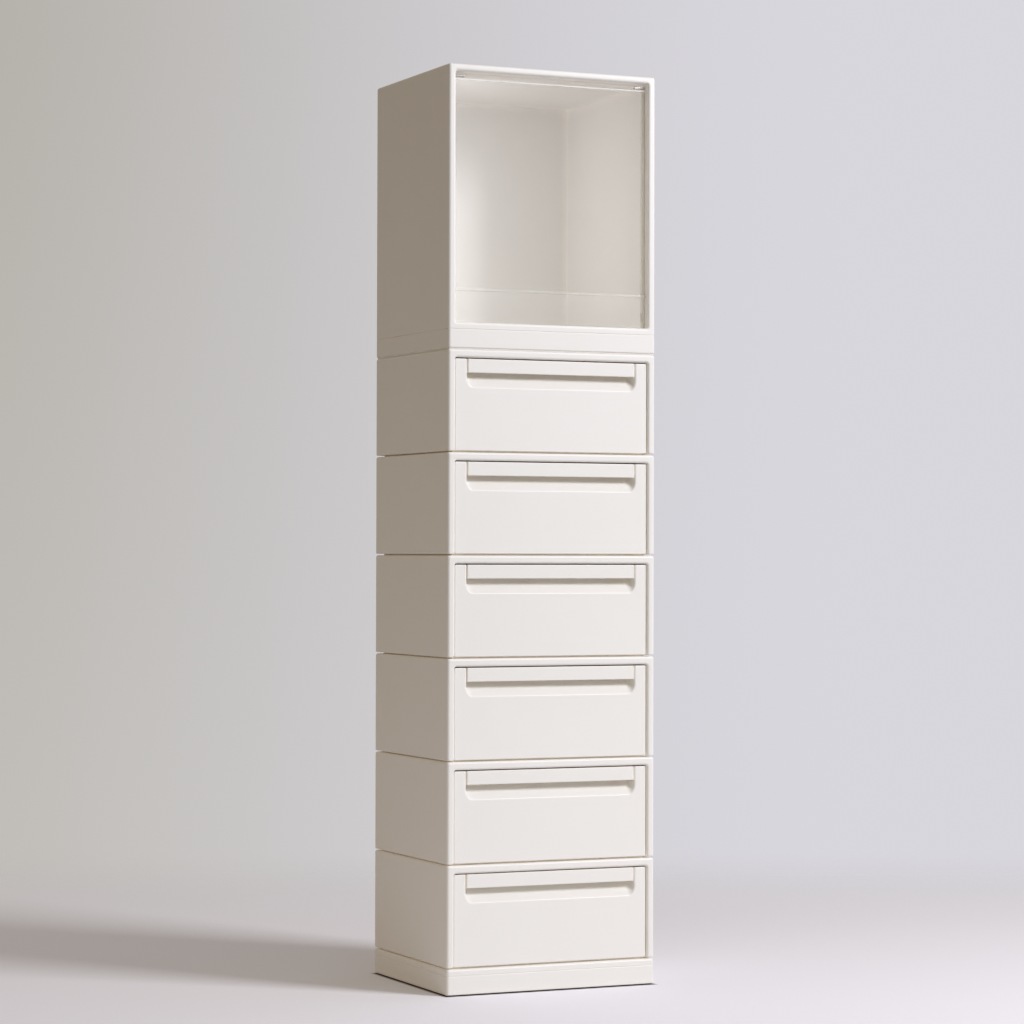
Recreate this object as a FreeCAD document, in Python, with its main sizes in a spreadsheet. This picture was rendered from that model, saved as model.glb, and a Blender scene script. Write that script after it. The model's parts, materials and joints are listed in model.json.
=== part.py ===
import FreeCAD, Part
import Sketcher
import os
import re

# Narrow drawer tower: six stacked drawer units on a plinth, with a display box on top.
# Millimetres. The origin is on the floor under the middle of the tower, the drawers face -Y, +Z is up.

UNIT_COUNT = 6

# Driving dimensions
SIZES = {
    # The whole tower and what its mouldings share
    "tower_width": 242,
    "tower_depth": 202,
    "corner_radius": 3,
    "top_radius": 2.4,
    "rim_radius": 2.5,
    "seam_radius": 0.8,
    "overrun": 5,
    # Stacking: a raised plateau on each piece fits inside the piece above and leaves a shadow gap
    "unit_pitch": 108,
    "stack_gap": 1.4,
    "plateau_height": 2.6,
    "plateau_clearance": 0.5,
    "plateau_setback": 1.5,
    # Case of a drawer unit
    "side_wall": 8.2,
    "top_wall": 8.4,
    "back_wall": 4,
    "foot_radius": 1.2,
    "ledge_width": 11,
    "ledge_thickness": 3.5,
    "ledge_clearance": 0.3,
    "stop_inset": 38.5,
    "stop_width": 24,
    "stop_thickness": 4,
    "stop_drop": 7,
    "stop_clearance": 0.5,
    # Drawer front
    "drawer_gap": 1.3,
    "drawer_side_gap": 1,
    "drawer_floor_gap": 1.9,
    "face_recess": 2.5,
    "front_thickness": 5,
    "front_edge_radius": 0.9,
    "front_corner_radius": 1.2,
    "notch_margin": 13.6,
    "finger_gap": 15.5,
    "scoop_depth": 17,
    "scoop_wall": 2.2,
    "scoop_corner_radius": 6.5,
    "scoop_bend_radius": 7,
    "lip_radius": 2.2,
    # Handle bar
    "bar_height": 14.5,
    "bar_thickness": 4,
    "bar_end_gap": 1,
    "bar_cap": 2.5,
    "bar_edge_radius": 0.7,
    "bar_grip_radius": 1.5,
    "bar_clearance": 0.3,
    # Drawer tray
    "tray_wall": 2.5,
    "tray_side_gap": 2.5,
    "tray_rear_gap": 3,
    "tray_rim_drop": 10.2,
    "tray_corner_radius": 5,
    "tray_cove_radius": 2,
    "tray_rim_radius": 0.8,
    "cutout_clearance": 0.4,
    "runner_height": 3,
    "runner_thickness": 2,
    "runner_clearance": 0.5,
    "tab_width": 16,
    "tab_clearance": 1.7,
    "tray_hold": 45.5,
    # Screws
    "screw_radius": 1.5,
    "screw_head_radius": 2.8,
    "screw_head_height": 2,
    "screw_bite": 3.2,
    "screw_clearance": 0.15,
    "front_screw_inset": 13,
    "front_screw_low": 20,
    "front_screw_high": 58,
    "plinth_screw_inset_x": 50,
    "plinth_screw_inset_y": 45,
    # Plinths, base plate and feet
    "plinth_height": 19.8,
    "plinth_front": 5,
    "plinth_web": 3,
    "seam_rib_inset": 1.5,
    "seam_rib_clearance": 0.15,
    "boss_radius": 10,
    "boss_inset": 14,
    "floor_gap": 1,
    "pad_radius": 8,
    "pad_seat": 1,
    "pad_clearance": 0.2,
    "pad_edge_radius": 0.6,
    "base_plate": 7,
    # Display case
    "display_height": 278,
    "display_wall": 7.1,
    "display_back": 4,
    "display_draft": 4,
    # Clear door
    "door_recess": 6.5,
    "door_thickness": 2.5,
    "door_side_gap": 0.8,
    "door_end_gap": 1.2,
    "barrel_radius": 3,
    "return_depth": 6,
    "return_thickness": 2,
    "grip_height": 33.5,
    "grip_rib_radius": 1.3,
    "door_edge_radius": 0.6,
    "pin_radius": 1.5,
    "pin_fit": 0.05,
    "pin_clearance": 0.25,
    "pin_reach": 12,
    "pin_seat": 4.5,
    "door_stop_level": 8,
    "door_stop_height": 10,
    "door_stop_width": 2.5,
    "door_stop_thickness": 2.5,
    "door_stop_clearance": 0.3,
}

# Sizes that follow from the driving dimensions
DERIVED = {
    "half_width": "tower_width / 2",
    "half_depth": "tower_depth / 2",
    "front_plane": "-half_depth",
    # Levels above the floor
    "plate_floor": "floor_gap + plinth_height",
    "unit_floor": "plate_floor + base_plate + stack_gap",
    "display_plinth_floor": f"unit_floor + {UNIT_COUNT} * unit_pitch",
    "display_floor": "display_plinth_floor + plinth_height",
    # A piece rests on the plateau below it at this height above its own lowest edge
    "rest_level": "plateau_height - stack_gap",
    # Inside of a drawer unit, measured from the case's lowest edge
    "case_height": "unit_pitch - stack_gap",
    "inner_half_width": "half_width - side_wall",
    "back_face": "half_depth - back_wall",
    "ceiling": "case_height - top_wall",
    "ledge_top": "rest_level + ledge_thickness",
    "ledge_inner": "inner_half_width - ledge_width",
    # Drawer front
    "front_face": "front_plane + face_recess",
    "front_rear": "front_face + front_thickness",
    "front_half_width": "inner_half_width - drawer_side_gap",
    "front_bottom": "drawer_floor_gap - stack_gap",
    "front_top": "ceiling - drawer_gap",
    "notch_half_width": "front_half_width - notch_margin",
    "bar_rear": "front_face + bar_thickness",
    "bar_bottom": "front_top - bar_height",
    "lip_level": "bar_bottom - finger_gap",
    "scoop_rear": "front_face + scoop_depth",
    "bend_level": "lip_level + scoop_depth",
    "housing_rear": "scoop_rear + scoop_wall",
    "housing_top": "front_top - bar_cap",
    "housing_half_width": "notch_half_width + scoop_wall",
    "housing_low": "lip_level + front_thickness - scoop_wall * sqrt(2)",
    "housing_high": "housing_low + housing_rear - front_rear",
    # Drawer tray
    "tray_half_width": "inner_half_width - tray_side_gap",
    "tray_rear": "back_face - tray_rear_gap",
    "tray_rim": "ceiling - tray_rim_drop",
    "tray_floor": "ledge_top + tray_wall",
    "runner_outer": "ledge_inner - runner_clearance",
    "tab_face": "tray_rear - tray_wall",
    "front_screw_x": "tray_half_width - front_screw_inset",
    # The stops catch the tabs while this much of the tray is still in the case
    "stop_middle": "inner_half_width - stop_inset",
    "stop_rear": "front_rear + tray_hold - tray_wall - stop_clearance",
    # Plinth screws
    "plinth_screw_x": "half_width - plinth_screw_inset_x",
    "plinth_screw_y": "half_depth - plinth_screw_inset_y",
    # Clear door, measured from the display case's lowest edge
    "display_inner_half_width": "half_width - side_wall",
    "display_rear_half_width": "display_inner_half_width - display_draft",
    "display_ceiling": "display_height - display_wall",
    "door_face": "front_plane + door_recess",
    "door_rear": "door_face + door_thickness",
    "door_half_width": "display_inner_half_width - door_side_gap",
    "door_bottom": "display_wall + door_end_gap",
    "hinge_y": "door_face + barrel_radius",
    "hinge_z": "display_ceiling - door_end_gap - barrel_radius",
    "door_stop_face": "door_rear + return_depth + door_stop_clearance",
    "door_stop_floor": "display_wall + door_stop_level",
}

doc = FreeCAD.newDocument("drawer_tower")
sheet = doc.addObject("Spreadsheet::Sheet", "sizes")
for row, (name, size) in enumerate({**SIZES, **DERIVED}.items(), start=1):
    sheet.set(f"A{row}", name)
    sheet.set(f"B{row}", f"={size}" if name in DERIVED else str(size))
    sheet.setAlias(f"B{row}", name)
doc.recompute()

ALONG_X = FreeCAD.Rotation(FreeCAD.Vector(0, 1, 0), 90)
ALONG_Y = FreeCAD.Rotation(FreeCAD.Vector(1, 0, 0), -90)
ALONG_Z = FreeCAD.Rotation()
SIDES = (-1, 1)
# Where screws and corner bosses stand, as (x, z) on a drawer front and (x, y) on a plinth
FRONT_SCREW_PLACES = [(f"{side} * front_screw_x", height)
                      for side in SIDES for height in ("front_screw_low", "front_screw_high")]
PLINTH_SCREW_PLACES = [(f"{side} * plinth_screw_x", f"{end} * plinth_screw_y")
                       for side in SIDES for end in SIDES]
BOSS_PLACES = [(f"{side} * (half_width - boss_inset)", f"{end} * (half_depth - boss_inset)")
               for side in SIDES for end in SIDES]
# How exactly an edge lies where it is looked for, and how far it may lean from the axis that it runs along
MATCH_SHARE = 0.001
LEAN_SHARE = 0.05
SIZE_NAME = re.compile(r"\b(" + "|".join({**SIZES, **DERIVED}) + r")\b")


def in_sheet(formula):
    # Points each size named in a formula at its cell
    return SIZE_NAME.sub(r"sizes.\1", str(formula))


def value(formula):
    return float(sheet.evalExpression(in_sheet(formula)))


def bind(thing, **formulas):
    for prop, formula in formulas.items():
        thing.setExpression(prop, in_sheet(formula))


def place(thing, x=0, y=0, z=0):
    for axis, formula in (("x", x), ("y", y), ("z", z)):
        thing.setExpression(f"Placement.Base.{axis}", in_sheet(formula))


def new_body(name, z=0):
    body = doc.addObject("PartDesign::Body", name)
    body.Label = name
    place(body, z=z)
    return body


def box(body, name, x, y, z, cut=False):
    # A block between a low and a high formula on each axis, added or cut away
    block = body.newObject("PartDesign::SubtractiveBox" if cut else "PartDesign::AdditiveBox", name)
    bind(block, Length=f"({x[1]}) - ({x[0]})", Width=f"({y[1]}) - ({y[0]})", Height=f"({z[1]}) - ({z[0]})")
    place(block, x[0], y[0], z[0])
    return block


def rod(body, name, turn, start, length, radius, cut=False):
    # A cylinder from its start along the turned axis, added or cut away
    kind = "PartDesign::SubtractiveCylinder" if cut else "PartDesign::AdditiveCylinder"
    cylinder = body.newObject(kind, name)
    cylinder.Placement = FreeCAD.Placement(FreeCAD.Vector(), turn)
    bind(cylinder, Radius=radius, Height=length)
    place(cylinder, *start)
    return cylinder


def profile(body, name, points):
    # A closed outline in the YZ plane, each corner held at its own (y, z) formulas
    sketch = body.newObject("Sketcher::SketchObject", name)
    plane = next(feature for feature in body.Origin.OriginFeatures if feature.Role == "YZ_Plane")
    sketch.AttachmentSupport = (plane, [""])
    sketch.MapMode = "FlatFace"
    corners = [FreeCAD.Vector(value(y), value(z)) for y, z in points]
    for index, corner in enumerate(corners):
        following = corners[(index + 1) % len(corners)]
        sketch.addGeometry(Part.LineSegment(corner, following))
    for index in range(len(corners)):
        sketch.addConstraint(Sketcher.Constraint("Coincident", index, 2, (index + 1) % len(corners), 1))
    for index, (y, z) in enumerate(points):
        for kind, formula in (("DistanceX", y), ("DistanceY", z)):
            number = sketch.addConstraint(Sketcher.Constraint(kind, -1, 1, index, 1, value(formula)))
            sketch.setExpression(f"Constraints[{number}]", in_sheet(formula))
    return sketch


def extrude(body, sketch, width, cut=False):
    # A profile drawn out to both sides of the middle plane
    solid = body.newObject("PartDesign::Pocket" if cut else "PartDesign::Pad", f"{sketch.Name}_solid")
    solid.Profile = sketch
    solid.SideType = "Symmetric"
    bind(solid, Length=width)
    return solid


def edges_of(feature, along=None, **where):
    # Names of the edges that run along an axis, or nearly so, and lie within the formulas given per axis
    doc.recompute()
    slack = MATCH_SHARE * value("overrun")
    limits = {axis: (value(low) - slack, value(high) + slack) for axis, (low, high) in where.items()}
    names = []
    for number, edge in enumerate(feature.Shape.Edges, start=1):
        extent = edge.BoundBox
        low = {"X": extent.XMin, "Y": extent.YMin, "Z": extent.ZMin}
        high = {"X": extent.XMax, "Y": extent.YMax, "Z": extent.ZMax}
        lean = slack + LEAN_SHARE * (high[along] - low[along]) if along else None
        if along and any(high[axis] - low[axis] > lean for axis in low if axis != along):
            continue
        if all(limits[axis][0] <= low[axis] and high[axis] <= limits[axis][1] for axis in limits):
            names.append(f"Edge{number}")
    return names


def at(formula):
    return (formula, formula)


def fillet(body, feature, radius, edges):
    rounding = body.newObject("PartDesign::Fillet", f"{feature.Name}_rounding")
    rounding.Base = (feature, edges)
    bind(rounding, Radius=radius)
    return rounding


def span(side, low, high):
    # The same stretch of X on the right side, or mirrored on the left
    return (low, high) if side > 0 else (f"-({high})", f"-({low})")


def one_of_two(side, middle, width):
    # The stretch of X that one of a pair takes up, from its middle and its width
    return span(side, f"{middle} - {width} / 2", f"{middle} + {width} / 2")


def both_sides(half):
    return (f"-({half})", half)


def rounded_block(body, height, top_radius, bottom_radius):
    # The outer form that all the tower's mouldings share
    block = box(body, "block", both_sides("half_width"), both_sides("half_depth"), (0, height))
    uprights = fillet(body, block, "corner_radius", edges_of(block, along="Z"))
    top = fillet(body, uprights, top_radius, edges_of(uprights, Z=at(height)))
    return fillet(body, top, bottom_radius, edges_of(top, Z=at(0)))


def add_plateau(body, level):
    # The raised middle of a top, which locates the piece that stands on it
    box(body, "plateau", both_sides("inner_half_width - plateau_clearance"),
        ("front_rear + plateau_setback", "back_face - plateau_clearance"),
        (level, f"{level} + plateau_height"))


def unit_level(level):
    return f"unit_floor + {level - 1} * unit_pitch"


def make_case(level):
    # One moulding: top, sides and back, open in front and below, with ledges that carry the drawer
    body = new_body(f"case_{level}", unit_level(level))
    rounded_block(body, "case_height", "top_radius", "foot_radius")
    inside = box(body, "inside", both_sides("inner_half_width"), ("front_plane - overrun", "back_face"),
                 ("-overrun", "ceiling"), cut=True)
    corners = fillet(body, inside, "rim_radius", edges_of(inside, along="Y", Z=at("ceiling")))
    rim = edges_of(corners, X=both_sides("inner_half_width"), Y=at("front_plane"), Z=(0, "ceiling"))
    fillet(body, corners, "rim_radius", rim)
    for side in SIDES:
        box(body, "ledge", span(side, "ledge_inner", "inner_half_width"),
            ("front_rear + ledge_clearance", "back_face"), ("rest_level", "ledge_top"))
        box(body, "stop", one_of_two(side, "stop_middle", "stop_width"),
            ("stop_rear - stop_thickness", "stop_rear"), ("ceiling - stop_drop", "ceiling"))
    add_plateau(body, "case_height")


def make_tray(level):
    # Open box that slides on the ledges, with runners between them and tabs that meet the stops
    body = new_body(f"drawer_tray_{level}", unit_level(level))
    block = box(body, "block", both_sides("tray_half_width"), ("front_rear", "tray_rear"),
                ("ledge_top", "tray_rim"))
    uprights = fillet(body, block, "tray_corner_radius", edges_of(block, along="Z"))
    inner_y = ("front_rear + tray_wall", "tray_rear - tray_wall")
    inside = box(body, "inside", both_sides("tray_half_width - tray_wall"), inner_y,
                 ("tray_floor", "tray_rim + overrun"), cut=True)
    inner_corners = edges_of(inside, along="Z", X=both_sides("tray_half_width - tray_wall"), Y=inner_y)
    corners = fillet(body, inside, "tray_corner_radius - tray_wall", inner_corners)
    cove = fillet(body, corners, "tray_cove_radius", edges_of(corners, Z=at("tray_floor")))
    fillet(body, cove, "tray_rim_radius", edges_of(cove, Z=at("tray_rim")))
    box(body, "housing_cutout", both_sides("housing_half_width + cutout_clearance"),
        ("front_rear - overrun", "front_rear + tray_corner_radius"),
        ("housing_low - cutout_clearance", "tray_rim + overrun"), cut=True)
    for side in SIDES:
        box(body, "runner", span(side, "runner_outer - runner_thickness", "runner_outer"),
            ("front_rear + tray_corner_radius", "tray_rear - tray_corner_radius"),
            ("ledge_top - runner_height", "ledge_top"))
        box(body, "tab", one_of_two(side, "stop_middle", "tab_width"),
            ("tab_face", "tray_rear"), ("tray_rim - tray_wall", "ceiling - tab_clearance"))
    for x, z in FRONT_SCREW_PLACES:
        rod(body, "screw_hole", ALONG_Y, (x, "front_rear - overrun", z), "tray_wall + 2 * overrun",
            "screw_radius + screw_clearance", cut=True)


def make_front(level):
    # Flat front with a scoop for the fingers, whose housing reaches into the tray
    body = new_body(f"drawer_front_{level}", unit_level(level))
    plate = box(body, "plate", both_sides("front_half_width"), ("front_face", "front_rear"),
                ("front_bottom", "front_top"))
    fillet(body, plate, "front_corner_radius", edges_of(plate, along="Y"))
    housing = profile(body, "housing", [("front_rear", "housing_low"), ("housing_rear", "housing_high"),
                                        ("housing_rear", "housing_top"), ("front_rear", "housing_top")])
    extrude(body, housing, "2 * housing_half_width")
    scoop = profile(body, "scoop", [("front_face - overrun", "lip_level - overrun"),
                                    ("scoop_rear", "bend_level"), ("scoop_rear", "front_top + overrun"),
                                    ("front_face - overrun", "front_top + overrun")])
    hollow = extrude(body, scoop, "2 * notch_half_width", cut=True)
    bend = fillet(body, hollow, "scoop_bend_radius",
                  edges_of(hollow, along="X", Y=at("scoop_rear"), Z=at("bend_level")))
    ramp_ends = []
    for side in SIDES:
        ramp_ends += edges_of(bend, X=at(f"{side} * notch_half_width"), Y=("front_face", "scoop_rear"),
                              Z=("lip_level", "bend_level"))
    ends = fillet(body, bend, "scoop_corner_radius", ramp_ends)
    lip = fillet(body, ends, "lip_radius", edges_of(ends, along="X", X=both_sides("notch_half_width"),
                                                    Y=at("front_face"), Z=at("lip_level")))
    # The rounding runs on from this one edge around the whole front
    outer = edges_of(lip, along="Z", Y=at("front_face"), X=at("front_half_width"))
    fillet(body, lip, "front_edge_radius", outer)
    for x, z in FRONT_SCREW_PLACES:
        rod(body, "screw_hole", ALONG_Y, (x, "front_rear - screw_bite - screw_clearance", z),
            "screw_bite + screw_clearance + overrun", "screw_radius + screw_clearance", cut=True)


def make_bar(level):
    # Bar across the top of the scoop, with a cap behind it that rests on the housing
    body = new_body(f"handle_bar_{level}", unit_level(level))
    section = profile(body, "section", [("front_face", "bar_bottom"), ("bar_rear", "bar_bottom"),
                                        ("bar_rear", "housing_top"), ("housing_rear", "housing_top"),
                                        ("housing_rear", "front_top"), ("front_face", "front_top")])
    bar = extrude(body, section, "2 * (notch_half_width - bar_end_gap)")
    face = fillet(body, bar, "bar_edge_radius", edges_of(bar, Y=at("front_face")))
    fillet(body, face, "bar_grip_radius", edges_of(face, along="X", Y=at("bar_rear"), Z=at("bar_bottom")))
    box(body, "cap", both_sides("housing_half_width"), ("front_rear + bar_clearance", "housing_rear"),
        ("housing_top", "front_top"))


def make_front_screws(level):
    body = new_body(f"front_screws_{level}", unit_level(level))
    for x, z in FRONT_SCREW_PLACES:
        rod(body, "shank", ALONG_Y, (x, "front_rear - screw_bite", z),
            "screw_bite + tray_wall + screw_head_height", "screw_radius")
        rod(body, "head", ALONG_Y, (x, "front_rear + tray_wall", z),
            "screw_head_height", "screw_head_radius")


def make_plinth(name, level, seam_rib=False):
    # Skirt with a top web, as wide inside as a case, and corner bosses that stand on feet or on a plateau
    body = new_body(name, level)
    rounded_block(body, "plinth_height", "seam_radius", "foot_radius")
    if seam_rib:
        # Closes the gap to the case below, a little behind the outer faces
        box(body, "seam_rib", both_sides("half_width - seam_rib_inset"),
            both_sides("half_depth - seam_rib_inset"), ("seam_rib_clearance - stack_gap", "foot_radius"))
    box(body, "inside", both_sides("inner_half_width"), ("front_plane + plinth_front", "back_face"),
        ("-overrun", "plinth_height - plinth_web"), cut=True)
    for x, y in BOSS_PLACES:
        rod(body, "boss", ALONG_Z, (x, y, "rest_level"),
            "plinth_height - plinth_web / 2 - rest_level", "boss_radius")
        rod(body, "seat", ALONG_Z, (x, y, "rest_level - overrun"),
            "overrun + pad_seat", "pad_radius + pad_clearance", cut=True)
    for x, y in PLINTH_SCREW_PLACES:
        rod(body, "screw_hole", ALONG_Z, (x, y, "plinth_height - plinth_web - overrun"),
            "plinth_web + 2 * overrun", "screw_radius + screw_clearance", cut=True)


def add_plinth_screw_holes(body):
    for x, y in PLINTH_SCREW_PLACES:
        rod(body, "screw_hole", ALONG_Z, (x, y, "-overrun"), "overrun + screw_bite + screw_clearance",
            "screw_radius + screw_clearance", cut=True)


def make_plinth_screws(name, seam_level):
    # Screws that go up through a plinth's web into the piece above it
    body = new_body(name, seam_level)
    head_floor = "-plinth_web - screw_head_height"
    for x, y in PLINTH_SCREW_PLACES:
        rod(body, "head", ALONG_Z, (x, y, head_floor), "screw_head_height", "screw_head_radius")
        rod(body, "shank", ALONG_Z, (x, y, head_floor),
            "screw_head_height + plinth_web + screw_bite", "screw_radius")


def make_floor_feet():
    body = new_body("floor_feet")
    for x, y in BOSS_PLACES:
        pad = rod(body, "pad", ALONG_Z, (x, y, 0), "floor_gap + rest_level + pad_seat", "pad_radius")
    fillet(body, pad, "pad_edge_radius", edges_of(pad, Z=at(0)))


def make_base_plate():
    body = new_body("base_plate", "plate_floor")
    rounded_block(body, "base_plate", "top_radius", "seam_radius")
    add_plateau(body, "base_plate")
    add_plinth_screw_holes(body)


def make_display_case():
    # Box open in front, whose inside narrows towards the back, with nubs that the door shuts against
    body = new_body("display_case", "display_floor")
    rounded_block(body, "display_height", "top_radius", "seam_radius")
    inside = body.newObject("PartDesign::SubtractiveWedge", "inside")
    bind(inside, Xmin="-display_inner_half_width", Xmax="display_inner_half_width",
         X2min="-display_rear_half_width", X2max="display_rear_half_width",
         Ymin="front_plane", Ymax="half_depth - display_back",
         Zmin="display_wall", Zmax="display_ceiling",
         Z2min="display_wall", Z2max="display_ceiling - display_draft")
    opening = {"X": both_sides("display_inner_half_width"), "Z": ("display_wall", "display_ceiling")}
    corners = fillet(body, inside, "rim_radius", edges_of(inside, along="Y", **opening))
    fillet(body, corners, "rim_radius", edges_of(corners, Y=at("front_plane"), **opening))
    for side in SIDES:
        reach = span(side, "display_inner_half_width - door_stop_width", "display_inner_half_width")
        box(body, "door_stop", reach, ("door_stop_face", "door_stop_face + door_stop_thickness"),
            ("door_stop_floor", "door_stop_floor + door_stop_height"))
    seat_end = "display_inner_half_width + pin_seat"
    rod(body, "hinge_bore", ALONG_X, (f"-({seat_end})", "hinge_y", "hinge_z"), f"2 * ({seat_end})",
        "pin_radius + pin_fit", cut=True)
    add_plinth_screw_holes(body)


def make_clear_door():
    # Flap that hangs from a barrel under the ceiling, with returned side edges and a grip rib near its foot
    body = new_body("clear_door", "display_floor")
    panel = box(body, "panel", both_sides("door_half_width"), ("door_face", "door_rear"),
                ("door_bottom", "hinge_z"))
    for side in SIDES:
        panel = box(body, "return", span(side, "door_half_width - return_thickness", "door_half_width"),
                    ("door_face", "door_rear + return_depth"), ("door_bottom", "hinge_z"))
    front_edges = edges_of(panel, Y=at("door_face"), Z=("door_bottom", "hinge_z"))
    fillet(body, panel, "door_edge_radius", front_edges)
    rod(body, "barrel", ALONG_X, ("-door_half_width", "hinge_y", "hinge_z"),
        "2 * door_half_width", "barrel_radius")
    rod(body, "grip_rib", ALONG_X, ("-door_half_width", "door_face", "door_bottom + grip_height"),
        "2 * door_half_width", "grip_rib_radius")
    for side in SIDES:
        bore = span(side, "door_half_width - pin_reach - pin_clearance", "door_half_width + overrun")
        rod(body, "pin_bore", ALONG_X, (bore[0], "hinge_y", "hinge_z"), f"({bore[1]}) - ({bore[0]})",
            "pin_radius + pin_clearance", cut=True)


def make_hinge_pins():
    body = new_body("hinge_pins", "display_floor")
    for side in SIDES:
        pin = span(side, "door_half_width - pin_reach", "display_inner_half_width + pin_seat")
        rod(body, "pin", ALONG_X, (pin[0], "hinge_y", "hinge_z"), f"({pin[1]}) - ({pin[0]})", "pin_radius")


make_floor_feet()
make_plinth("base_plinth", "floor_gap")
make_plinth_screws("base_screws", "plate_floor")
make_base_plate()
for level in range(1, UNIT_COUNT + 1):
    make_case(level)
    make_tray(level)
    make_front(level)
    make_bar(level)
    make_front_screws(level)
make_plinth("display_plinth", "display_plinth_floor", seam_rib=True)
make_plinth_screws("display_screws", "display_floor")
make_display_case()
make_clear_door()
make_hinge_pins()
doc.recompute()

# Nothing is written unless every feature was made and every piece is a valid solid
failed = [thing.Label for thing in doc.Objects if {"Invalid", "Error"} & set(thing.State)]
pieces = [thing for thing in doc.Objects if thing.TypeId == "PartDesign::Body"]
failed += [piece.Label for piece in pieces if piece.Shape.isNull() or not piece.Shape.isValid()]
if failed:
    raise RuntimeError(f"these did not build: {failed}")
os.makedirs("parts", exist_ok=True)
for piece in pieces:
    piece.Shape.exportStep(f"parts/{piece.Label}.step")
    print(piece.Label, len(piece.Shape.Solids), round(piece.Shape.Volume))
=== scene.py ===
import json
import math

import bpy
from mathutils import Matrix, Vector


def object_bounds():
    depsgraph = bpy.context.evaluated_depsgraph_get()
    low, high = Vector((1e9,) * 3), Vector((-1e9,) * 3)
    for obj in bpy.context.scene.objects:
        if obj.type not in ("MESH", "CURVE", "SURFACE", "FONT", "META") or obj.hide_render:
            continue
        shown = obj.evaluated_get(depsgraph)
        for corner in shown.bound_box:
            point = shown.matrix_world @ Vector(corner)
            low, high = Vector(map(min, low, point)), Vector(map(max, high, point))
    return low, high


# Dresses the drawer tower: warm white satin mouldings, a clear flap door, rubber and steel small
# parts, on a pale floor under soft studio light. Metres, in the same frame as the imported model.

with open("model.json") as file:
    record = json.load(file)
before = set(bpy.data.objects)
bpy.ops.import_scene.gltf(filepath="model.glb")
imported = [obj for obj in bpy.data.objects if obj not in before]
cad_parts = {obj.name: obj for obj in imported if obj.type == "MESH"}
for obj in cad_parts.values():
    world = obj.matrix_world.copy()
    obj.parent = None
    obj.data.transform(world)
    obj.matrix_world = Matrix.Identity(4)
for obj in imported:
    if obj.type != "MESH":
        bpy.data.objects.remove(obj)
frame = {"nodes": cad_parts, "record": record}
cad_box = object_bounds()
scene = bpy.context.scene

# Camera of the photograph: where it stands, how it is turned and its lens
CAMERA_PLACE = Vector((-1.4128, -3.1013, 0.4624))
CAMERA_YAW = math.radians(24.4655)
CAMERA_PITCH = math.radians(0.7525)
CAMERA_ROLL = math.radians(0.14)
CAMERA_LENS = 110.05
CAMERA_SENSOR = 36.0

# The middle of a noise pattern, where most of its values lie
PATTERN_LOW = 0.3
PATTERN_HIGH = 0.7


def feed(tree, socket, source):
    """Gives a node's input a number, a colour or another node's output."""
    if isinstance(source, bpy.types.NodeSocket):
        tree.links.new(source, socket)
    else:
        socket.default_value = source


def add(tree, kind, inputs=None, **settings):
    """A shader node with these settings and inputs."""
    node = tree.nodes.new(f"ShaderNode{kind}")
    for name, setting in settings.items():
        setattr(node, name, setting)
    for name, source in (inputs or {}).items():
        feed(tree, node.inputs[name], source)
    return node


def rgba(colour):
    return (*colour, 1.0)


def new_material(name):
    material = bpy.data.materials.new(name)
    material.use_nodes = True
    material.node_tree.nodes.clear()
    return material, material.node_tree


def noise(tree, place, scale, detail, roughness=0.5):
    """A soft pattern around 0.5, with about this many features to the metre."""
    texture = add(tree, "TexNoise", {"Vector": place, "Scale": scale, "Detail": detail,
                                     "Roughness": roughness})
    return texture.outputs["Fac"]


def spread(tree, value, low, high, from_low=PATTERN_LOW, from_high=PATTERN_HIGH):
    """Stretches one part of a value's range, by default the middle of a pattern, to low and high."""
    ranged = add(tree, "MapRange", {"Value": value, "From Min": from_low, "From Max": from_high,
                                    "To Min": low, "To Max": high})
    return ranged.outputs["Result"]


def ease(tree, value, start, end):
    """Runs from 0 at the start to 1 at the end, slowly near both."""
    eased = add(tree, "MapRange", {"Value": value, "From Min": start, "From Max": end},
                interpolation_type="SMOOTHSTEP")
    return eased.outputs["Result"]


def bump(tree, place, scale, detail, height, under=None):
    """A relief of this height, on top of another relief where one is given."""
    inputs = {"Height": noise(tree, place, scale, detail), "Distance": height, "Strength": 1.0}
    if under is not None:
        inputs["Normal"] = under
    return add(tree, "Bump", inputs).outputs["Normal"]


def math_node(tree, operation, *sources):
    node = add(tree, "Math", operation=operation)
    for socket, source in zip(node.inputs, sources):
        feed(tree, socket, source)
    return node.outputs["Value"]


def mix_colour(tree, factor, first, second):
    node = add(tree, "Mix", {"Factor": factor}, data_type="RGBA")
    colours = [socket for socket in node.inputs if socket.type == "RGBA"]
    for socket, source in zip(colours, (first, second)):
        feed(tree, socket, source)
    return next(socket for socket in node.outputs if socket.type == "RGBA")


def scale_colour(tree, colour, share):
    scaled = add(tree, "VectorMath", {0: colour, "Scale": share}, operation="SCALE")
    return scaled.outputs["Vector"]


def mix_shader(tree, factor, first, second):
    mixed = add(tree, "MixShader", {"Fac": factor})
    tree.links.new(first.outputs[0], mixed.inputs[1])
    tree.links.new(second.outputs[0], mixed.inputs[2])
    return mixed


def output(tree, shader):
    add(tree, "OutputMaterial", {"Surface": shader})


# In the finishes below, colours are linear, scales are features to the metre and heights are metres

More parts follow.
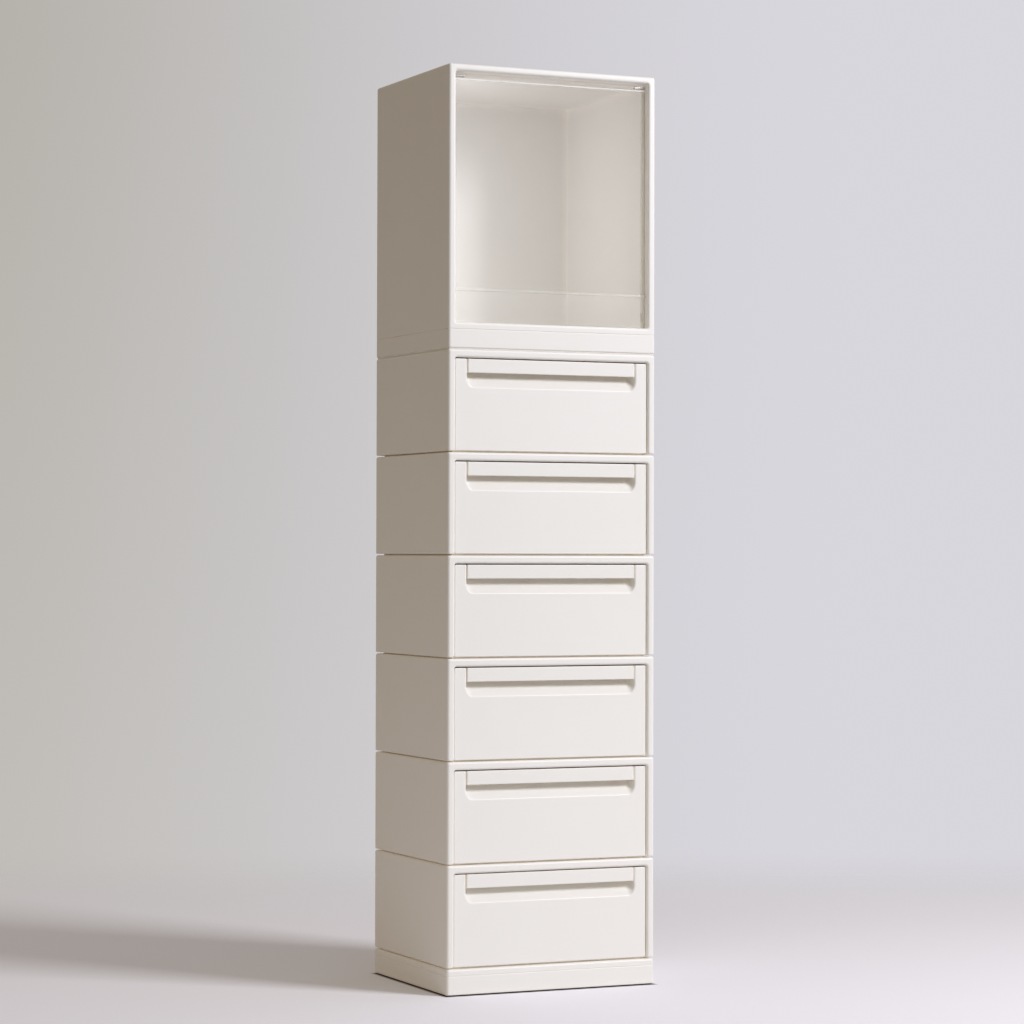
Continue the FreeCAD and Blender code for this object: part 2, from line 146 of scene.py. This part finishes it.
# Moulded plastic
WARM_WHITE = (0.825, 0.808, 0.778)
WARM_WHITE_DEEP = (0.808, 0.789, 0.755)
TRAY_WHITE = (0.800, 0.782, 0.745)
TRAY_WHITE_DEEP = (0.775, 0.755, 0.715)
SHELL_ROUGHNESS = 0.42
FRONT_ROUGHNESS = 0.40
BAR_ROUGHNESS = 0.38
TRAY_ROUGHNESS = 0.48
PLASTIC_IOR = 1.5
DRIFT_SCALE = 5.0
DRIFT_DETAIL = 4.0
DUST = (0.70, 0.68, 0.64)
DUST_SCALE = 55.0
DUST_DETAIL = 6.0
DUST_CRISPNESS = 0.65
DUST_TILT = (0.85, 0.98)
DUST_AMOUNT = 0.12
DUST_ROUGHNESS = 0.9
SATIN_SCALE = 70.0
SATIN_DETAIL = 3.0
SATIN_CHANGE = 0.04
RELIEF_DETAIL = 1.0
GRAIN_SCALE = 1500.0
GRAIN_HEIGHT = 0.000012
WAVE_SCALE = 28.0
WAVE_HEIGHT = 0.00012
# Painted light in gaps: how far a wall may be to count, how open a gap is, and the paler colour
# painted there
GAP_REACH = 0.015
GAP_SAMPLES = 6
GAP_OPEN = (0.20, 0.80)
GAP_PAINTED_LIGHT = (0.99, 0.955, 0.895)


def moulded_plastic(name, colour, deep, roughness):
    """Satin moulding: slow drifts of tone, fine grain from the mould, a trace of dust on upward
    faces, and painted light in gaps: they are painted paler, for the light that scatters inside the
    plastic."""
    material, tree = new_material(name)
    place = add(tree, "TexCoord").outputs["Object"]
    drift = spread(tree, noise(tree, place, DRIFT_SCALE, DRIFT_DETAIL), 0.0, 1.0)
    tone = mix_colour(tree, drift, rgba(colour), rgba(deep))
    normal = add(tree, "NewGeometry").outputs["Normal"]
    upward = add(tree, "SeparateXYZ", {"Vector": normal}).outputs["Z"]
    facing_up = spread(tree, upward, 0.0, 1.0, *DUST_TILT)
    patches = noise(tree, place, DUST_SCALE, DUST_DETAIL, DUST_CRISPNESS)
    dusty = math_node(tree, "MULTIPLY", facing_up, spread(tree, patches, 0.0, DUST_AMOUNT))
    tone = mix_colour(tree, dusty, tone, rgba(DUST))
    # Painted light: gaps and recesses are painted paler, standing in for light scattered inside the
    # plastic
    open_air = add(tree, "AmbientOcclusion", {"Distance": GAP_REACH}, samples=GAP_SAMPLES)
    gap_light_share = spread(tree, open_air.outputs["AO"], 1.0, 0.0, *GAP_OPEN)
    tone = mix_colour(tree, gap_light_share, tone, rgba(GAP_PAINTED_LIGHT))
    satin = spread(tree, noise(tree, place, SATIN_SCALE, SATIN_DETAIL),
                   roughness - SATIN_CHANGE, roughness + SATIN_CHANGE)
    rough = math_node(tree, "ADD", satin, math_node(tree, "MULTIPLY", dusty, DUST_ROUGHNESS))
    grain = bump(tree, place, GRAIN_SCALE, RELIEF_DETAIL, GRAIN_HEIGHT)
    waves = bump(tree, place, WAVE_SCALE, RELIEF_DETAIL, WAVE_HEIGHT, grain)
    shader = add(tree, "BsdfPrincipled", {"Base Color": tone, "Roughness": rough,
                                          "IOR": PLASTIC_IOR, "Normal": waves})
    output(tree, shader.outputs["BSDF"])
    return material


# Clear plastic of the door
CLEAR = (0.980, 0.981, 0.975)
CLEAR_HAZE = (0.90, 0.89, 0.87)
CLEAR_RIM_PAINTED_SHADE = (0.76, 0.75, 0.71)
CLEAR_BARREL = (0.985, 0.985, 0.98)
CLEAR_IOR = 1.49
SHINE_SHARE = 0.5
HAZE_SCALE = 40.0
HAZE_DETAIL = 5.0
HAZE_ROUGHNESS = (0.10, 0.16)
HAZE_AMOUNT = (0.018, 0.026)
RIPPLE_SCALE = 16.0
RIPPLE_HEIGHT = 0.000008
# Haze of faces that turn away from the eye, and the share of it on the side returns
FACING_BLEND = 0.5
EDGE_HAZE = 0.50
EDGE_TURN = (0.14, 0.62)
RETURN_HAZE_SHARE = 0.30
RETURN_TILT = (0.60, 0.90)
# Heights above the floor, and the distance of the rims from the middle, on the closed door
BARREL_FOOT = (0.9606, 0.9612)
FOLD_LEVEL = 0.9604
FOLD_REACH = (0.0003, 0.0007)
FOLD_HAZE = 0.55
GRIP_TOP = (0.7380, 0.7395)
GRIP_HAZE = 0.06
DOOR_RIM = (0.1107, 0.1112)


def clear_plastic(name):
    """Clear moulding: see-through, with a shine that grows towards its edges, a faint haze of
    rubbing marks, rims painted darker as painted shade for the dark line its clear edges show, a
    hazed grip and a light line where the clear barrel begins."""
    material, tree = new_material(name)
    place = add(tree, "TexCoord").outputs["Object"]
    spot = add(tree, "SeparateXYZ", {"Vector": place}).outputs
    geometry = add(tree, "NewGeometry").outputs
    marks = noise(tree, place, HAZE_SCALE, HAZE_DETAIL)
    ripple = bump(tree, place, RIPPLE_SCALE, RELIEF_DETAIL, RIPPLE_HEIGHT)

    barrel = spread(tree, spot["Z"], 0.0, 1.0, *BARREL_FOOT)
    # Painted shade: the rims pass less light, drawing the dark line that the clear edges show
    rim_shade_share = spread(tree, math_node(tree, "ABSOLUTE", spot["X"]), 0.0, 1.0, *DOOR_RIM)
    tint = mix_colour(tree, rim_shade_share, rgba(CLEAR), rgba(CLEAR_RIM_PAINTED_SHADE))
    tint = mix_colour(tree, barrel, tint, rgba(CLEAR_BARREL))
    through = add(tree, "BsdfTransparent", {"Color": tint})

    haze = add(tree, "BsdfDiffuse", {"Color": rgba(CLEAR_HAZE), "Normal": ripple})
    turned_away = add(tree, "LayerWeight", {"Blend": FACING_BLEND}).outputs["Facing"]
    across = add(tree, "SeparateXYZ", {"Vector": geometry["Normal"]}).outputs["X"]
    across = math_node(tree, "ABSOLUTE", across)
    edge_veil = math_node(tree, "MULTIPLY", spread(tree, turned_away, 0.0, EDGE_HAZE, *EDGE_TURN),
                          spread(tree, across, 1.0, RETURN_HAZE_SHARE, *RETURN_TILT))
    veil = math_node(tree, "ADD", spread(tree, marks, *HAZE_AMOUNT), edge_veil)
    veil = math_node(tree, "ADD", veil, spread(tree, spot["Z"], GRIP_HAZE, 0.0, *GRIP_TOP))
    veil = math_node(tree, "MULTIPLY", veil, math_node(tree, "SUBTRACT", 1.0, barrel))
    fold = math_node(tree, "ABSOLUTE", math_node(tree, "SUBTRACT", spot["Z"], FOLD_LEVEL))
    veil = math_node(tree, "ADD", veil, spread(tree, fold, FOLD_HAZE, 0.0, *FOLD_REACH))
    hazed = mix_shader(tree, veil, through, haze)

    shine = add(tree, "BsdfGlossy", {"Roughness": spread(tree, marks, *HAZE_ROUGHNESS),
                                     "Normal": ripple})
    edge = add(tree, "Fresnel", {"IOR": CLEAR_IOR}).outputs["Fac"]
    outer = spread(tree, geometry["Backfacing"], SHINE_SHARE, 0.0, 0.0, 1.0)
    shining = math_node(tree, "MULTIPLY", edge, outer)
    output(tree, mix_shader(tree, shining, hazed, shine).outputs["Shader"])
    return material


# Rubber of the feet
RUBBER_PALE = (0.52, 0.50, 0.47)
RUBBER_WORN = (0.43, 0.41, 0.385)
RUBBER_ROUGHNESS = (0.7, 0.9)
RUB_SCALE = 120.0
RUB_DETAIL = 4.0
SKIN_DETAIL = 2.0
PIT_SCALE = 900.0
PIT_HEIGHT = 0.00004


def rubber(name, colour, worn):
    """Matt rubber, darker where it is worn, with a pitted skin."""
    material, tree = new_material(name)
    place = add(tree, "TexCoord").outputs["Object"]
    rubbed = spread(tree, noise(tree, place, RUB_SCALE, RUB_DETAIL), 0.0, 1.0)
    tone = mix_colour(tree, rubbed, rgba(colour), rgba(worn))
    rough = spread(tree, noise(tree, place, RUB_SCALE, SKIN_DETAIL), *RUBBER_ROUGHNESS)
    pits = bump(tree, place, PIT_SCALE, SKIN_DETAIL, PIT_HEIGHT)
    shader = add(tree, "BsdfPrincipled", {"Base Color": tone, "Roughness": rough, "Normal": pits})
    output(tree, shader.outputs["BSDF"])
    return material


# Steel of the screws and the hinge pins
ZINC = (0.60, 0.60, 0.585)
ZINC_DULL = (0.42, 0.42, 0.41)
ZINC_ROUGHNESS = (0.25, 0.45)
SATIN_STEEL = (0.64, 0.625, 0.60)
SATIN_STEEL_DULL = (0.54, 0.53, 0.51)
SATIN_STEEL_ROUGHNESS = (0.65, 0.80)
CLOUD_SCALE = 350.0
CLOUD_DETAIL = 4.0
CLOUD_ROUGH_DETAIL = 3.0
SCRATCH_SCALE = 2500.0
SCRATCH_DETAIL = 2.0
SCRATCH_HEIGHT = 0.00001


def steel(name, colour, dull, roughness):
    """Steel with a cloudy, finely scratched skin."""
    material, tree = new_material(name)
    place = add(tree, "TexCoord").outputs["Object"]
    clouds = spread(tree, noise(tree, place, CLOUD_SCALE, CLOUD_DETAIL), 0.0, 1.0)
    tone = mix_colour(tree, clouds, rgba(colour), rgba(dull))
    rough = spread(tree, noise(tree, place, CLOUD_SCALE, CLOUD_ROUGH_DETAIL), *roughness)
    scratches = bump(tree, place, SCRATCH_SCALE, SCRATCH_DETAIL, SCRATCH_HEIGHT)
    shader = add(tree, "BsdfPrincipled", {"Base Color": tone, "Metallic": 1.0, "Roughness": rough,
                                          "Normal": scratches})
    output(tree, shader.outputs["BSDF"])
    return material


# Each material slot of the record and its finish
finishes = {
    "shell": moulded_plastic("shell_plastic", WARM_WHITE, WARM_WHITE_DEEP, SHELL_ROUGHNESS),
    "front": moulded_plastic("front_plastic", WARM_WHITE, WARM_WHITE_DEEP, FRONT_ROUGHNESS),
    "bar": moulded_plastic("bar_plastic", WARM_WHITE, WARM_WHITE_DEEP, BAR_ROUGHNESS),
    "tray": moulded_plastic("tray_plastic", TRAY_WHITE, TRAY_WHITE_DEEP, TRAY_ROUGHNESS),
    "clear": clear_plastic("clear_plastic"),
    "foot": rubber("foot_rubber", RUBBER_PALE, RUBBER_WORN),
    "screw": steel("screw_steel", ZINC, ZINC_DULL, ZINC_ROUGHNESS),
    "pin": steel("pin_steel", SATIN_STEEL, SATIN_STEEL_DULL, SATIN_STEEL_ROUGHNESS),
}
for subpart in frame["record"]["subparts"]:
    for slot in frame["nodes"][subpart["node"]].material_slots:
        slot.material = finishes[subpart["material_slot"]]


def look_at(thing, target):
    thing.rotation_euler = (target - thing.location).to_track_quat("-Z", "Y").to_euler()


def area_lamp(name, place, target, size, power, colour):
    lamp = bpy.data.lights.new(name, "AREA")
    lamp.shape = "RECTANGLE"
    lamp.size, lamp.size_y = size
    lamp.energy = power
    lamp.color = colour
    holder = bpy.data.objects.new(name, lamp)
    holder.location = place
    look_at(holder, target)
    scene.collection.objects.link(holder)
    return holder


# Key lamp: soft, from the front right and higher than the tower
TOWER_MIDDLE = (cad_box[0] + cad_box[1]) / 2
KEY_DIRECTION = Vector((0.60, -0.80, 0.54)).normalized()
KEY_DISTANCE = 2.8
KEY_SIZE = (0.80, 0.80)
KEY_POWER = 60.8
KEY_COLOUR = (0.945, 0.937, 1.0)
area_lamp("key_lamp", TOWER_MIDDLE + KEY_DIRECTION * KEY_DISTANCE, TOWER_MIDDLE,
          KEY_SIZE, KEY_POWER, KEY_COLOUR)

# A weak lamp in the display box's front left corner stands in for the light that its thin walls
# let through
GLOW_PLACE = Vector((-0.103, -0.074, 0.83))
GLOW_TARGET = Vector((0.0, 0.097, 0.81))
GLOW_SIZE = (0.012, 0.20)
GLOW_POWER = 0.124
GLOW_COLOUR = (0.919, 0.906, 1.0)
glow = area_lamp("glow_lamp", GLOW_PLACE, GLOW_TARGET, GLOW_SIZE, GLOW_POWER, GLOW_COLOUR)
glow.visible_camera = False
glow.visible_glossy = False
glow.visible_transmission = False

# Room light from each side, dimmed near and below the horizon
LIGHT_RIGHT = (0.440, 0.405, 0.428)
LIGHT_LEFT = (0.420, 0.290, 0.165)
LIGHT_BACK = (0.440, 0.343, 0.171)
LIGHT_FRONT = (0.634, 0.667, 0.611)
LIGHT_ABOVE = (0.370, 0.358, 0.372)
LIGHT_BELOW = (0.0, 0.0, 0.0)
LOW_SKY = (-0.12, 0.04)
LOW_SKY_SHARE = 0.08
# Backdrop, which the camera and the shine see: warm grey on the left, lavender on the right
BACKDROP_LEFT = (0.440, 0.420, 0.375)
BACKDROP_LEFT_LOW = (0.512, 0.492, 0.455)
BACKDROP_RIGHT = (0.685, 0.675, 0.722)
BACKDROP_TURN = (math.radians(11.0), math.radians(31.0))
BACKDROP_RISE = (-0.08, 0.16)


def dress_world():
    world = bpy.data.worlds.new("studio")
    scene.world = world
    world.use_nodes = True
    tree = world.node_tree
    tree.nodes.clear()
    direction = add(tree, "TexCoord").outputs["Generated"]
    parts = add(tree, "SeparateXYZ", {"Vector": direction}).outputs
    turn = ease(tree, math_node(tree, "ARCTAN2", parts["X"], parts["Y"]), *BACKDROP_TURN)
    rise = spread(tree, parts["Z"], 0.0, 1.0, *BACKDROP_RISE)
    left = mix_colour(tree, rise, rgba(BACKDROP_LEFT_LOW), rgba(BACKDROP_LEFT))
    backdrop = mix_colour(tree, turn, left, rgba(BACKDROP_RIGHT))
    room = None
    for axis, towards, away in (("X", LIGHT_RIGHT, LIGHT_LEFT), ("Y", LIGHT_BACK, LIGHT_FRONT),
                                ("Z", LIGHT_ABOVE, LIGHT_BELOW)):
        ahead = math_node(tree, "GREATER_THAN", parts[axis], 0.0)
        side = mix_colour(tree, ahead, rgba(away), rgba(towards))
        lit = scale_colour(tree, side, math_node(tree, "MULTIPLY", parts[axis], parts[axis]))
        if room is None:
            room = lit
        else:
            room = add(tree, "VectorMath", {0: room, 1: lit}, operation="ADD").outputs["Vector"]
    room = scale_colour(tree, room, spread(tree, parts["Z"], LOW_SKY_SHARE, 1.0, *LOW_SKY))
    path = add(tree, "LightPath").outputs
    seen = math_node(tree, "MAXIMUM", path["Is Camera Ray"],
                     math_node(tree, "MAXIMUM", path["Is Glossy Ray"], path["Is Transmission Ray"]))
    colour = mix_colour(tree, seen, room, backdrop)
    background = add(tree, "Background", {"Color": colour, "Strength": 1.0})
    add(tree, "OutputWorld", {"Surface": background.outputs["Background"]})


dress_world()

# Floor: a pale paper disc, with a painted contact shadow under the tower, that fades into the
# backdrop
FLOOR_RADIUS = 6.0
FLOOR_SIDES = 96
FLOOR_COLOUR = (0.80, 0.79, 0.81)
FLOOR_SEEN = (0.883, 0.877, 0.919)
FLOOR_GRAIN_SHARE = 0.985
PAPER_SCALE = 400.0
PAPER_DETAIL = 3.0
PAINTED_CONTACT_SHADOW = (0.10, 0.065, 0.045)
PAINTED_SHADOW_REACH = (-0.001, 0.0045)
# Where it fades: away from the camera, from the middle outwards, and for bounced light
SWEEP_FADE = (0.35, 1.5)
FLOOR_FADE = (0.75, 1.7)
BOUNCE_FADE = (0.9, 1.6)


def floor_paper():
    material, tree = new_material("floor_paper")
    place = add(tree, "TexCoord").outputs["Object"]
    path = add(tree, "LightPath").outputs
    tone = mix_colour(tree, path["Is Camera Ray"], rgba(FLOOR_COLOUR), rgba(FLOOR_SEEN))
    paper = noise(tree, place, PAPER_SCALE, PAPER_DETAIL)
    tone = scale_colour(tree, tone, spread(tree, paper, FLOOR_GRAIN_SHARE, 1.0))
    spot = add(tree, "VectorMath", {0: place}, operation="ABSOLUTE").outputs["Vector"]
    inset = add(tree, "VectorMath", {0: spot, 1: cad_box[1]}, operation="SUBTRACT")
    inset = add(tree, "SeparateXYZ", {"Vector": inset.outputs["Vector"]}).outputs
    beside = math_node(tree, "MAXIMUM", inset["X"], inset["Y"])
    # Painted shadow: the floor is painted dark under the tower and a few millimetres around its
    # footprint
    tone = mix_colour(tree, spread(tree, beside, 1.0, 0.0, *PAINTED_SHADOW_REACH), tone, rgba(PAINTED_CONTACT_SHADOW))
    matt = add(tree, "BsdfDiffuse", {"Color": tone})

    distance = add(tree, "VectorMath", {0: place}, operation="LENGTH").outputs["Value"]
    away = (math.sin(CAMERA_YAW), math.cos(CAMERA_YAW), 0.0)
    depth = add(tree, "VectorMath", {0: place, 1: away}, operation="DOT_PRODUCT").outputs["Value"]
    lighting = math_node(tree, "MAXIMUM", path["Is Diffuse Ray"], path["Is Shadow Ray"])
    sweep = math_node(tree, "MULTIPLY", ease(tree, depth, *SWEEP_FADE), path["Is Camera Ray"])
    outwards = math_node(tree, "MULTIPLY", ease(tree, distance, *FLOOR_FADE), path["Is Camera Ray"])
    bounced = math_node(tree, "MULTIPLY", ease(tree, distance, *BOUNCE_FADE), lighting)
    faded = math_node(tree, "MAXIMUM", sweep, math_node(tree, "MAXIMUM", outwards, bounced))
    output(tree, mix_shader(tree, faded, matt, add(tree, "BsdfTransparent")).outputs["Shader"])
    return material


def make_floor():
    angles = [math.tau * step / FLOOR_SIDES for step in range(FLOOR_SIDES)]
    points = [(FLOOR_RADIUS * math.cos(angle), FLOOR_RADIUS * math.sin(angle), 0.0)
              for angle in angles]
    mesh = bpy.data.meshes.new("floor")
    mesh.from_pydata(points, [], [range(FLOOR_SIDES)])
    mesh.materials.append(floor_paper())
    floor = bpy.data.objects.new("floor", mesh)
    scene.collection.objects.link(floor)


make_floor()


def make_camera():
    data = bpy.data.cameras.new("photo_camera")
    data.lens = CAMERA_LENS
    data.sensor_width = CAMERA_SENSOR
    camera = bpy.data.objects.new("photo_camera", data)
    yaw = Matrix.Rotation(-CAMERA_YAW, 4, "Z")
    pitch = Matrix.Rotation(math.pi / 2 + CAMERA_PITCH, 4, "X")
    roll = Matrix.Rotation(CAMERA_ROLL, 4, "Z")
    camera.matrix_world = Matrix.Translation(CAMERA_PLACE) @ yaw @ pitch @ roll
    scene.collection.objects.link(camera)
    scene.camera = camera


make_camera()

# White boxes pass light on many times, and a ray can cross several clear walls
LIGHT_BOUNCES = 16
DIFFUSE_BOUNCES = 12
CLEAR_BOUNCES = 24
scene.view_settings.view_transform = "Standard"
scene.cycles.max_bounces = LIGHT_BOUNCES
scene.cycles.diffuse_bounces = DIFFUSE_BOUNCES
scene.cycles.transparent_max_bounces = CLEAR_BOUNCES
